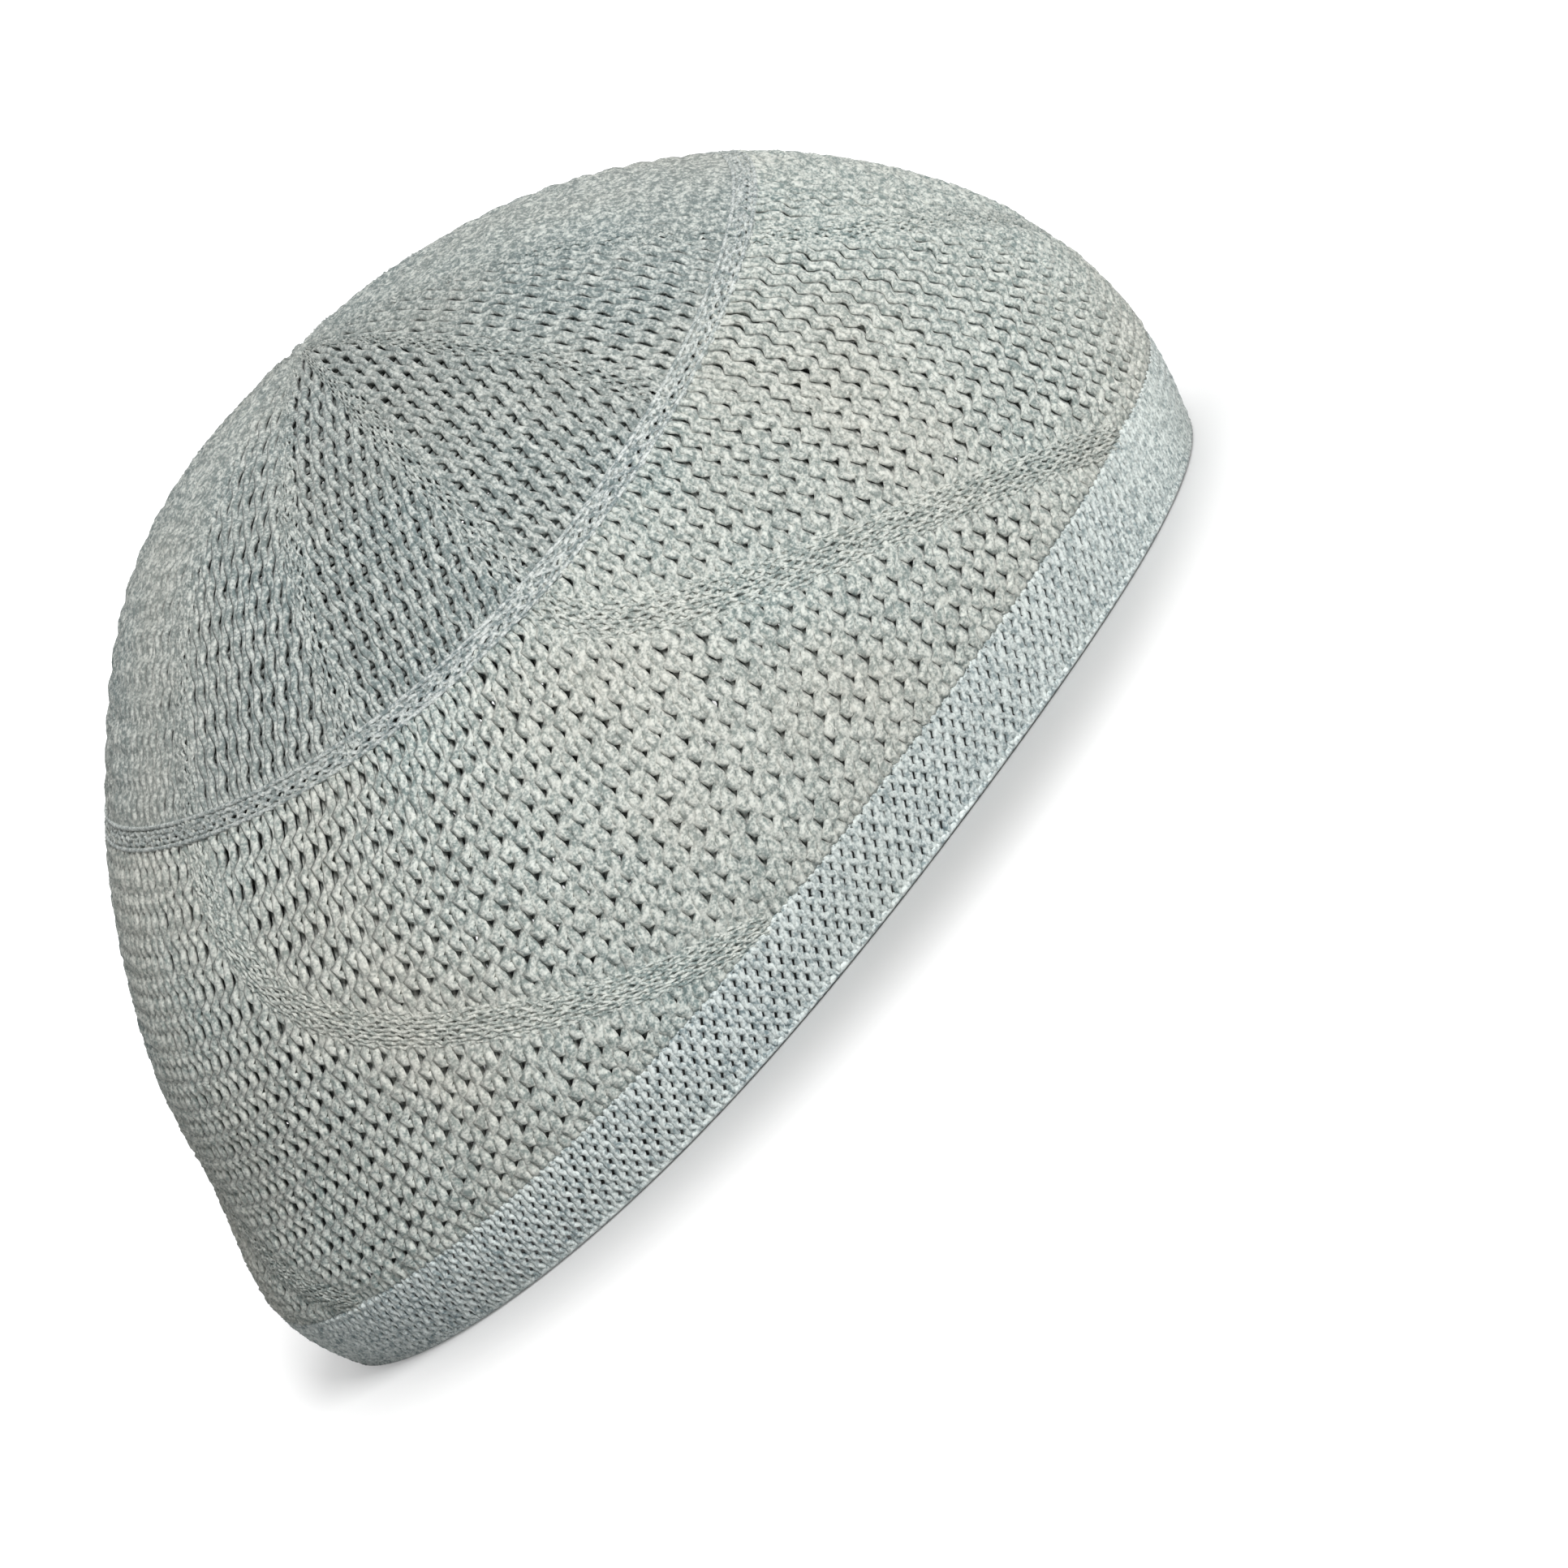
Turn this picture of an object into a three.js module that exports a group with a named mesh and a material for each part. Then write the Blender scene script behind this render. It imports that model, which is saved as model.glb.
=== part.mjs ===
// Knitted kufi: a close-fitting skull cap of openwork knit, standing on its rim.
// Millimetres, +Z up, front of the cap towards +X, origin on the ground under the middle of the cap.
// It is four hollow pieces of knit, one above the other: a fine hem band, an openwork side wall with six
// swirling close-knit lines, a seam ring, and a crown of twelve gores between twelve close-knit ribs.

import * as THREE from 'three';

// Driving dimensions

const HEM_WALL = 1.8; // thickness of the fine knit at the hem
const KNIT_WALL = 1.6; // thickness of the openwork knit of the wall and crown
const SEAM_GAP = 0.3; // clearance between two neighbouring pieces
const RING_WIDTH = 4.2; // width of the seam ring, measured up the cap
const RIB_RISE = 0.5; // how far a crown rib stands proud of the gores
const LINE_RISE = 0.35; // how far a swirl line stands proud of the side wall
const GORES = 12; // gores of the crown, one rib at each edge
const SWIRLS = 6; // swirl lines of the side wall, one from every second rib
const SWIRL_SWEEP = 57; // degrees that a swirl line turns between the seam ring and the hem
const SWIRL_POWER = 1.7; // how slowly a swirl line starts to turn under the ring
const RIB_HALF_ANGLE = 2.6; // degrees, half the width of a crown rib at the ring
const LINE_HALF_ANGLE = 2.2; // degrees, half the width of a swirl line
const RIB_SPREAD = 2.2; // a rib's half angle at the apex, as a multiple of the one at the ring

// One row for each level of the cap, from the rim to the apex. `at` is the share of the way up the knit.
// `front` and `rear` are the x and z of the level on the middle line, `side` is its half width and its z at
// the sides, and `egg` says how much fuller the rear half of the plan is than the front half.
const LEVELS = [
  { level: 'rim', at: 0, front: [97.8, 0], side: [73, 0], rear: [-102.9, 0], egg: 0.2 },
  { level: 'hem top', at: 0.1, front: [103.9, 15], side: [78, 15], rear: [-105.6, 13.8], egg: 0.2 },
  { level: 'widest', at: 0.235, front: [105.3, 35], side: [80, 35], rear: [-97.8, 34], egg: 0.18 },
  { level: 'middle', at: 0.4, front: [98.2, 58.2], side: [77.3, 56.5], rear: [-87.5, 58], egg: 0.15 },
  { level: 'seam ring', at: 0.585, front: [80.9, 83.2], side: [68.3, 75.7], rear: [-64.8, 86.8], egg: 0.09 },
  { level: 'upper', at: 0.8, front: [49.8, 104.8], side: [43.6, 102.2], rear: [-28.5, 111.5], egg: 0.03 },
  { level: 'apex', at: 1, front: [12.5, 114.5], side: [0, 114.5], rear: [12.5, 114.5], egg: 0 },
];
const atLevel = (name) => LEVELS.find(({ level }) => level === name).at;
const RIM_AT = atLevel('rim');
const HEM_AT = atLevel('hem top');
const RING_AT = atLevel('seam ring');
const APEX_AT = atLevel('apex');

// Rise of the seam ring across its width: two thin raised edges with a dip between them.
const RING_PROFILE = [
  { across: 0, rise: 0.15 },
  { across: 0.25, rise: 0.6 },
  { across: 0.5, rise: 0.35 },
  { across: 0.75, rise: 0.6 },
  { across: 1, rise: 0.15 },
];

// Rows of faces up each piece, and columns round the whole cap.
const ROWS = { hem: 3, side: 10, crown: 8 };
const COLUMNS = 72;
const RIDGE_STEPS = [-1.5, -0.5, 0.5, 1.5]; // columns across a rib or line, in half widths
const RIDGE_TOP = [0, 1, 1, 0]; // share of the rise at each of those columns

// The cap's surface

// Reads a column of the level table at any height by a cubic through its rows. Beyond the apex the column
// is continued by its mirror image, `parity` 1 for an even column and -1 for one that changes sign there.
function alongLevels(value, parity, at) {
  const last = LEVELS.length - 1;
  const atOf = (i) => (i > last ? 2 * LEVELS[last].at - LEVELS[last - 1].at : LEVELS[i].at);
  const valueOf = (i) => (i > last ? parity * value(LEVELS[last - 1]) : value(LEVELS[i]));
  const slope = (i, j) => (valueOf(j) - valueOf(i)) / (atOf(j) - atOf(i));
  const tangent = (i) => {
    if (i === 0) return 1.5 * slope(0, 1) - 0.5 * slope(0, 2);
    const before = atOf(i) - atOf(i - 1);
    const after = atOf(i + 1) - atOf(i);
    return (slope(i - 1, i) * after + slope(i, i + 1) * before) / (before + after);
  };
  let row = 0;
  while (row < last - 1 && at >= LEVELS[row + 1].at) row += 1;
  const span = atOf(row + 1) - atOf(row);
  const t = (at - atOf(row)) / span;
  const t2 = t * t;
  const t3 = t2 * t;
  return (2 * t3 - 3 * t2 + 1) * valueOf(row)
    + (t3 - 2 * t2 + t) * span * tangent(row)
    + (3 * t2 - 2 * t3) * valueOf(row + 1)
    + (t3 - t2) * span * tangent(row + 1);
}

// The outside of the cap at a share of the height and at an angle in degrees, which is 0 at the front and
// 90 on the wearer's right.
function surfacePoint(at, degrees) {
  const angle = THREE.MathUtils.degToRad(degrees);
  const cos = Math.cos(angle);
  const sin = Math.sin(angle);
  const middleX = alongLevels(({ front, rear }) => (front[0] + rear[0]) / 2, 1, at);
  const halfLength = alongLevels(({ front, rear }) => (front[0] - rear[0]) / 2, -1, at);
  const halfWidth = alongLevels(({ side }) => side[0], -1, at);
  const endZ = alongLevels(({ front, rear }) => (front[1] + rear[1]) / 2, 1, at);
  const tiltZ = alongLevels(({ front, rear }) => (front[1] - rear[1]) / 2, -1, at);
  const sideZ = alongLevels(({ side }) => side[1], 1, at);
  const egg = alongLevels((row) => row.egg, 1, at);
  return new THREE.Vector3(
    middleX + halfLength * cos,
    -halfWidth * sin * (1 - egg * cos * sin * sin),
    sideZ + (endZ - sideZ) * cos * cos + tiltZ * cos,
  );
}

const STEP = 1e-3; // share of the height used to measure slopes

function slopeUp(at, degrees) {
  const low = Math.max(RIM_AT, at - STEP);
  const high = Math.min(APEX_AT, at + STEP);
  return surfacePoint(high, degrees).sub(surfacePoint(low, degrees)).divideScalar(high - low);
}

function outwardNormal(at, degrees) {
  if (at > APEX_AT - STEP) return new THREE.Vector3(0, 0, 1);
  const round = surfacePoint(at, degrees + 0.5).sub(surfacePoint(at, degrees - 0.5));
  return slopeUp(at, degrees).cross(round).normalize();
}

// How far round a swirl line has turned at a height, in degrees towards the front of the right-hand side.
function swirlTurn(at) {
  const down = THREE.MathUtils.clamp((RING_AT - at) / (RING_AT - HEM_AT), 0, 1);
  return SWIRL_SWEEP * down ** SWIRL_POWER;
}

// Columns of faces round the cap

// Plain columns at equal angles.
function evenColumn(column) {
  return { degrees: (360 * column) / COLUMNS, ridge: 0 };
}

// Columns grouped so that `count` ridges of a given half angle run along them, the rest shared out between.
function ridgedColumn(column, count, firstDegrees, halfAngle) {
  const perRidge = COLUMNS / count;
  const ridge = Math.floor(column / perRidge);
  const place = column % perRidge;
  const centre = firstDegrees + (360 * ridge) / count;
  if (place < RIDGE_STEPS.length) {
    return { degrees: centre + RIDGE_STEPS[place] * halfAngle, ridge: RIDGE_TOP[place] };
  }
  const edge = RIDGE_STEPS[RIDGE_STEPS.length - 1] * halfAngle;
  const share = (place - RIDGE_STEPS.length + 1) / (perRidge - RIDGE_STEPS.length + 1);
  return { degrees: centre + edge + share * (360 / count - 2 * edge), ridge: 0 };
}

function crownColumn(column, at) {
  const up = (at - RING_AT) / (APEX_AT - RING_AT);
  const spread = 1 + (RIB_SPREAD - 1) * up ** 2;
  return ridgedColumn(column, GORES, 0, RIB_HALF_ANGLE * Math.min(spread, 90 / GORES / RIB_HALF_ANGLE));
}

function swirlColumn(column, at) {
  const found = ridgedColumn(column, SWIRLS, 180 / SWIRLS, LINE_HALF_ANGLE);
  return { degrees: found.degrees - swirlTurn(at), ridge: found.ridge };
}

// Walls of knit

// A point on one face of a wall, moved up or down the cap by `shift` millimetres and outwards by `offset`.
function wallPoint(at, degrees, shift, offset) {
  const level = at + shift / slopeUp(at, degrees).length();
  const normal = outwardNormal(level, degrees);
  if (at === RIM_AT) normal.setZ(0).normalize();
  return surfacePoint(level, degrees).addScaledVector(normal, offset);
}

// Builds one closed hollow wall. `rows` lists the levels that it has faces between, each with a rise and a
// shift, `columnAt` gives the angle and ridge share of a column, and a wall that reaches the apex closes there.
function buildWall({ rows, columnAt, ridgeRise, wall }) {
  const positions = [];
  const indices = [];
  const closesAtApex = rows[rows.length - 1].at === APEX_AT;
  const rings = closesAtApex ? rows.slice(0, -1) : rows;

  const addPoint = (point) => positions.push(point.x, point.y, point.z) / 3 - 1;
  const addRing = ({ at, rise, shift }, isOuter) => Array.from({ length: COLUMNS }, (_, column) => {
    const { degrees, ridge } = columnAt(column, at);
    const offset = isOuter ? rise + ridge * ridgeRise : -wall;
    return addPoint(wallPoint(at, degrees, shift, offset));
  });
  const vertex = (i) => new THREE.Vector3().fromArray(positions, 3 * i);
  const addQuad = (a, b, c, d) => {
    const across = vertex(a).distanceTo(vertex(c));
    const other = vertex(b).distanceTo(vertex(d));
    if (across <= other) indices.push(a, b, c, a, c, d);
    else indices.push(a, b, d, b, c, d);
  };
  const joinRings = (from, to) => {
    for (let column = 0; column < COLUMNS; column += 1) {
      const next = (column + 1) % COLUMNS;
      addQuad(from[column], to[column], to[next], from[next]);
    }
  };
  const closeRing = (ring, pole, isOuter) => {
    for (let column = 0; column < COLUMNS; column += 1) {
      const next = (column + 1) % COLUMNS;
      if (isOuter) indices.push(ring[column], pole, ring[next]);
      else indices.push(ring[next], pole, ring[column]);
    }
  };

  const outer = rings.map((row) => addRing(row, true));
  const inner = rings.map((row) => addRing(row, false));
  const top = rings.length - 1;
  for (let row = 0; row < top; row += 1) {
    joinRings(outer[row], outer[row + 1]);
    joinRings(inner[row + 1], inner[row]);
  }
  joinRings(inner[0], outer[0]);
  if (closesAtApex) {
    closeRing(outer[top], addPoint(wallPoint(APEX_AT, 0, 0, 0)), true);
    closeRing(inner[top], addPoint(wallPoint(APEX_AT, 0, 0, -wall)), false);
  } else {
    joinRings(outer[top], inner[top]);
  }

  const geometry = new THREE.BufferGeometry();
  geometry.setAttribute('position', new THREE.Float32BufferAttribute(positions, 3));
  geometry.setIndex(indices);
  geometry.computeVertexNormals();
  return geometry;
}

// Levels at equal steps between two ends, each end moved up or down the cap by its own shift.
function evenRows(count, from, to, fromShift, toShift) {
  const rows = Array.from({ length: count + 1 }, (_, i) => (
    { at: THREE.MathUtils.lerp(from, to, i / count), rise: 0, shift: 0 }
  ));
  rows[0].shift = fromShift;
  rows[count].shift = toShift;
  return rows;
}

// Pieces

const HALF_GAP = SEAM_GAP / 2;
const HALF_RING = RING_WIDTH / 2;

function headband() {
  return buildWall({
    rows: evenRows(ROWS.hem, RIM_AT, HEM_AT, 0, -HALF_GAP),
    columnAt: evenColumn,
    ridgeRise: 0,
    wall: HEM_WALL,
  });
}

function sideWall() {
  return buildWall({
    rows: evenRows(ROWS.side, HEM_AT, RING_AT, HALF_GAP, -HALF_RING - HALF_GAP),
    columnAt: swirlColumn,
    ridgeRise: LINE_RISE,
    wall: KNIT_WALL,
  });
}

function crownRing() {
  const width = RING_WIDTH - SEAM_GAP;
  return buildWall({
    rows: RING_PROFILE.map(({ across, rise }) => ({ at: RING_AT, rise, shift: (across - 0.5) * width })),
    columnAt: evenColumn,
    ridgeRise: 0,
    wall: KNIT_WALL,
  });
}

function crown() {
  return buildWall({
    rows: evenRows(ROWS.crown, RING_AT, APEX_AT, HALF_RING + HALF_GAP, 0),
    columnAt: crownColumn,
    ridgeRise: RIB_RISE,
    wall: KNIT_WALL,
  });
}

const PIECES = [
  { name: 'headband', build: headband, color: 0xa7b1b1, roughness: 0.9 },
  { name: 'side_wall', build: sideWall, color: 0xb2b7b2, roughness: 0.92 },
  { name: 'crown_ring', build: crownRing, color: 0x9ba4a2, roughness: 0.9 },
  { name: 'crown', build: crown, color: 0x9aa6a6, roughness: 0.92 },
];

const kufi = new THREE.Group();
for (const { name, build, color, roughness } of PIECES) {
  const mesh = new THREE.Mesh(build(), new THREE.MeshStandardMaterial({ color, roughness, metalness: 0 }));
  mesh.name = name;
  kufi.add(mesh);
}

export default kufi;
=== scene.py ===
"""Looks of a knitted kufi: a close-fitting skull cap of openwork knit that stands on its rim.

Every stitch that shows is yarn. Strands of yarn are laid flat with bmesh operators and an array, then laid
over the cap's surface: they swing from side to side so that neighbours meet and part, and the gaps between
them are the holes of the knit. The front of the cap is towards +X, and +Z is up. Lengths are in metres,
but in millimetres in the table of levels and where a name ends in _MM.
"""

import logging
import math
from dataclasses import dataclass
from enum import Enum

import bmesh
import bpy
import numpy as np
from mathutils import Matrix, Vector


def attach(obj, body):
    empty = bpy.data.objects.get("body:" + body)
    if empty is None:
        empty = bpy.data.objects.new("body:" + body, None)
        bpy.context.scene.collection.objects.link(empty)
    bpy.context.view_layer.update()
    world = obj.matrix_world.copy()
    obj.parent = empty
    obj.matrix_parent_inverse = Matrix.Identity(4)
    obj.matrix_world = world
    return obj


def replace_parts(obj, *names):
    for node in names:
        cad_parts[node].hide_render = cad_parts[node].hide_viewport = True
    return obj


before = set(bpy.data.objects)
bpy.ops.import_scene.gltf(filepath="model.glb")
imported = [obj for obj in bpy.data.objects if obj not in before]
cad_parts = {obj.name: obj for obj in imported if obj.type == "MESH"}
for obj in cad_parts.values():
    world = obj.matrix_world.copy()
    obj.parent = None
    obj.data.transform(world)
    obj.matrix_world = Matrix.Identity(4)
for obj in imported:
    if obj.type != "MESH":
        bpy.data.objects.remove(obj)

LOG = logging.getLogger("kufi")
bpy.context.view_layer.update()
MM = 0.001
SEED = 1925
BODY = "root"
GROUND_SIDES = 4
WELD = 1e-7
TINY = 1e-12
ROUND_PLACES = 720
CLIMB_PLACES = 120


@dataclass(frozen=True)
class Level:
    """One level of the cap, in millimetres.

    `at` is the share of the way up the knit. `front` and `rear` are x and z on the middle line, `side` is
    the half width and its z at the sides, and `egg` is how much fuller the rear of the plan is.
    """

    at: float
    front: tuple[float, float]
    side: tuple[float, float]
    rear: tuple[float, float]
    egg: float


RIM = Level(0.0, (97.8, 0.0), (73.0, 0.0), (-102.9, 0.0), 0.2)
HEM_TOP = Level(0.1, (103.9, 15.0), (78.0, 15.0), (-105.6, 13.8), 0.2)
WIDEST = Level(0.235, (105.3, 35.0), (80.0, 35.0), (-97.8, 34.0), 0.18)
MIDDLE = Level(0.4, (98.2, 58.2), (77.3, 56.5), (-87.5, 58.0), 0.15)
SEAM = Level(0.585, (80.9, 83.2), (68.3, 75.7), (-64.8, 86.8), 0.09)
UPPER = Level(0.8, (49.8, 104.8), (43.6, 102.2), (-28.5, 111.5), 0.03)
APEX = Level(1.0, (12.5, 114.5), (0.0, 114.5), (12.5, 114.5), 0.0)


class Dome:
    """The outside surface of the cap, found at a share of the height and an angle round the cap."""

    LEVELS = (RIM, HEM_TOP, WIDEST, MIDDLE, SEAM, UPPER, APEX)
    SLOPE_STEP = 1e-3

    def _column(self, values: list[float], parity: int, at: np.ndarray) -> np.ndarray:
        """Reads one column of the level table by a cubic through its rows.

        Args:
            values: the column, one value for each level.
            parity: 1 if the column goes on past the apex as its mirror image, -1 if it changes sign there.
            at: shares of the height.

        Returns:
            The column's value at each share.
        """
        stations = np.array([level.at for level in self.LEVELS])
        column = np.array(values)
        last = len(column) - 1
        beyond = np.append(stations, 2 * stations[last] - stations[last - 1])
        longer = np.append(column, parity * column[last - 1])
        steps = np.diff(beyond)
        slopes = np.diff(longer) / steps
        tangents = np.empty(last + 1)
        tangents[0] = 1.5 * slopes[0] - 0.5 * (column[2] - column[0]) / (stations[2] - stations[0])
        tangents[1:] = (slopes[:-1] * steps[1:] + slopes[1:] * steps[:-1]) / (steps[:-1] + steps[1:])
        row = np.clip(np.searchsorted(stations, at, side="right") - 1, 0, last - 1)
        span = steps[row]
        t = (at - stations[row]) / span
        return (
            (2 * t**3 - 3 * t**2 + 1) * column[row]
            + (t**3 - 2 * t**2 + t) * span * tangents[row]
            + (3 * t**2 - 2 * t**3) * column[row + 1]
            + (t**3 - t**2) * span * tangents[row + 1]
        )

    def point(self, at: np.ndarray, degrees: np.ndarray) -> np.ndarray:
        """Finds points of the surface.

        Args:
            at: shares of the height, 0 at the rim and 1 at the apex.
            degrees: angles round the cap, 0 at the front and 90 on the wearer's right.

        Returns:
            The points, in metres, with x, y and z along the last axis.
        """
        cos = np.cos(np.radians(degrees))
        sin = np.sin(np.radians(degrees))
        levels = self.LEVELS
        middle_x = self._column([(row.front[0] + row.rear[0]) / 2 for row in levels], 1, at)
        half_length = self._column([(row.front[0] - row.rear[0]) / 2 for row in levels], -1, at)
        half_width = self._column([row.side[0] for row in levels], -1, at)
        end_z = self._column([(row.front[1] + row.rear[1]) / 2 for row in levels], 1, at)
        tilt_z = self._column([(row.front[1] - row.rear[1]) / 2 for row in levels], -1, at)
        side_z = self._column([row.side[1] for row in levels], 1, at)
        egg = self._column([row.egg for row in levels], 1, at)
        x = middle_x + half_length * cos
        y = -half_width * sin * (1 - egg * cos * sin**2)
        z = side_z + (end_z - side_z) * cos**2 + tilt_z * cos
        return np.stack([x, y, z], axis=-1) * MM

    def slopes(self, at: np.ndarray, degrees: np.ndarray) -> tuple[np.ndarray, np.ndarray]:
        """Finds how fast the surface moves up the cap and round it.

        Args:
            at: shares of the height.
            degrees: angles round the cap.

        Returns:
            The change of place for a whole height, and for one degree.
        """
        low = np.clip(at - self.SLOPE_STEP, 0, 1)
        high = np.clip(at + self.SLOPE_STEP, 0, 1)
        rise = (self.point(high, degrees) - self.point(low, degrees)) / (high - low)[..., None]
        round_cap = self.point(at, degrees + 0.5) - self.point(at, degrees - 0.5)
        return rise, round_cap

    def normal(self, at: np.ndarray, degrees: np.ndarray) -> np.ndarray:
        """Finds the outward normals of the surface, which point straight up at the apex."""
        rise, round_cap = self.slopes(np.minimum(at, 1 - 2 * self.SLOPE_STEP), degrees)
        return unit(np.cross(rise, round_cap))

    def per_degree(self, at: np.ndarray, degrees: np.ndarray) -> np.ndarray:
        """Finds how far the surface goes round the cap in one degree."""
        return np.linalg.norm(self.slopes(at, degrees)[1], axis=-1)

    def length(self, at: np.ndarray, degrees: np.ndarray) -> float:
        """Measures a line through places on the surface."""
        return float(np.linalg.norm(np.diff(self.point(at, degrees), axis=0), axis=-1).sum())

    def lay(self, at: np.ndarray, degrees: np.ndarray, height: np.ndarray) -> tuple[np.ndarray, np.ndarray]:
        """Lays lines at a height out of the surface, and returns their points and normals."""
        normals = self.normal(at, degrees)
        return self.point(at, degrees) + normals * height[..., None], normals


def unit(vectors: np.ndarray) -> np.ndarray:
    """Scales vectors on the last axis to length 1."""
    return vectors / np.maximum(np.linalg.norm(vectors, axis=-1, keepdims=True), TINY)


def tangents(points: np.ndarray, is_loop: bool) -> np.ndarray:
    """Finds the unit directions along lines of points.

    Args:
        points: the lines, with their points in order on the last axis but one.
        is_loop: True for lines that close on themselves.

    Returns:
        A direction for each point.
    """
    if is_loop:
        return unit(np.roll(points, -1, axis=-2) - np.roll(points, 1, axis=-2))
    return unit(np.gradient(points, axis=-2))


def fade(value: np.ndarray, low: float, high: float) -> np.ndarray:
    """Eases from 0 where the value is at or under low to 1 where it is at or over high."""
    t = np.clip((value - low) / (high - low), 0, 1)
    return t * t * (3 - 2 * t)


DOME = Dome()


@dataclass
class Yarns:
    """Strands of yarn side by side, each a closed tube swept along its own line.

    `lines` holds the middle of each strand, one row of points for each, and `normals` the way out of the
    fabric there. `half_width` and `half_depth` are the strand's half sizes across the fabric and through it.
    """

    lines: np.ndarray
    normals: np.ndarray
    half_width: np.ndarray
    half_depth: np.ndarray
    sides: int = 6
    is_loop: bool = False

    FLAT_SPACING = 4.0

    def _flat(self) -> bpy.types.Mesh:
        """Lays the strands flat and straight, one unit of length for each step, by an array of one tube.

        Returns:
            The flat mesh, with the strands side by side along x.
        """
        count, steps = self.lines.shape[:2]
        work = bmesh.new()
        turn = Matrix.Rotation(math.radians(90), 4, "X")
        bmesh.ops.create_circle(work, cap_ends=False, segments=self.sides, radius=1.0, matrix=turn)
        edge_loop = list(work.edges)
        for _ in range(steps - 1):
            grown = bmesh.ops.extrude_edge_only(work, edges=edge_loop)["geom"]
            edge_loop = [item for item in grown if isinstance(item, bmesh.types.BMEdge)]
            moved = [item for item in grown if isinstance(item, bmesh.types.BMVert)]
            edge_loop = [edge for edge in edge_loop if all(vert in moved for vert in edge.verts)]
            bmesh.ops.translate(work, verts=moved, vec=Vector((0, 1, 0)))
        if not self.is_loop:
            open_edges = [edge for edge in work.edges if edge.is_boundary]
            bmesh.ops.holes_fill(work, edges=open_edges, sides=self.sides)
        bmesh.ops.recalc_face_normals(work, faces=work.faces)
        tube = bpy.data.meshes.new("flat_strand")
        work.to_mesh(tube)
        work.free()
        holder = bpy.data.objects.new("flat_strands", tube)
        bpy.context.scene.collection.objects.link(holder)
        array = holder.modifiers.new("side_by_side", "ARRAY")
        array.count = count
        array.use_relative_offset = False
        array.use_constant_offset = True
        array.constant_offset_displace = (self.FLAT_SPACING, 0, 0)
        ready = holder.evaluated_get(bpy.context.evaluated_depsgraph_get())
        flat = bpy.data.meshes.new_from_object(ready)
        bpy.data.objects.remove(holder)
        bpy.data.meshes.remove(tube)
        return flat

    def mesh(self, rng: np.random.Generator) -> bpy.types.Mesh:
        """Sweeps the flat strands along their lines.

        Args:
            rng: gives each strand its tone.

        Returns:
            A mesh with the point attributes `ply`, which holds the cosine and sine of the angle round the
            strand and the length along it in metres, and `tone`, a random value for each strand.
        """
        flat = self._flat()
        places = np.empty(len(flat.vertices) * 3)
        flat.vertices.foreach_get("co", places)
        places = places.reshape(-1, 3)
        strand = np.rint(places[:, 0] / self.FLAT_SPACING).astype(int)
        step = np.rint(places[:, 1]).astype(int)
        across = places[:, 0] - strand * self.FLAT_SPACING
        through = places[:, 2]
        forward = tangents(self.lines, self.is_loop)
        sideways = unit(np.cross(forward, self.normals))
        outward = np.cross(sideways, forward)
        if self.is_loop:
            step = step % self.lines.shape[1]
        swept = (
            self.lines[strand, step]
            + sideways[strand, step] * (across * self.half_width[strand, step])[:, None]
            + outward[strand, step] * (through * self.half_depth[strand, step])[:, None]
        )
        lengths = np.linalg.norm(np.diff(self.lines, axis=1), axis=-1)
        along = np.concatenate([np.zeros((len(lengths), 1)), np.cumsum(lengths, axis=1)], axis=1)
        flat.vertices.foreach_set("co", swept.astype(np.float32).ravel())
        ply = flat.attributes.new("ply", "FLOAT_VECTOR", "POINT")
        values = np.stack([across, through, along[strand, step]], axis=-1)
        ply.data.foreach_set("vector", values.astype(np.float32).ravel())
        tone = flat.attributes.new("tone", "FLOAT", "POINT")
        tone.data.foreach_set("value", rng.random(len(self.lines)).astype(np.float32)[strand])
        flat.update()
        return flat


@dataclass(frozen=True)
class Stitch:
    """How a strand of a net swings and lifts as it passes the rows of holes.

    Shares are of the pitch between two holes of a row. `swing` opens the holes, `bow` bends them towards
    the front and `slant` tilts them. `lift` raises the strand on the rear side of a hole over the other,
    and `bulge` rounds each row. `width` is the strand's width beside a hole and `waist` its width between
    two rows of holes. `depth` is half the strand's thickness, in metres.
    """

    swing: float
    bow: float
    slant: float
    lift: float
    bulge: float
    width: float
    waist: float
    depth: float

    def offsets(
        self, strand: np.ndarray, row: np.ndarray, opening: np.ndarray
    ) -> tuple[np.ndarray, np.ndarray]:
        """Finds how far a strand lies off its straight lane.

        Args:
            strand: the strands' numbers, counted round the cap.
            row: places along the strands, whole at the middle of a row of holes.
            opening: how open the knit is there, from 0 to 1.

        Returns:
            The shift round the cap in pitches, and the height out of the fabric in metres.
        """
        turn = np.cos(np.pi * row) * np.where(strand % 2 == 0, 1.0, -1.0)
        wave = 2 * np.pi * row
        shift = -self.swing * turn - self.bow * np.cos(wave) - self.slant * np.sin(wave)
        height = -self.lift * turn + self.bulge * np.cos(wave)
        return opening * shift, opening * height

    def widths(self, row: np.ndarray, opening: np.ndarray) -> np.ndarray:
        """Finds a strand's width in pitches.

        Args:
            row: places along the strands, whole at the middle of a row of holes.
            opening: how open the knit is there, from 0 to 1.

        Returns:
            The widths.
        """
        between = 0.5 - 0.5 * np.cos(2 * np.pi * row)
        open_width = self.width + (self.waist - self.width) * between
        return self.waist + (open_width - self.waist) * np.clip(opening, 0, 1)


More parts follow.
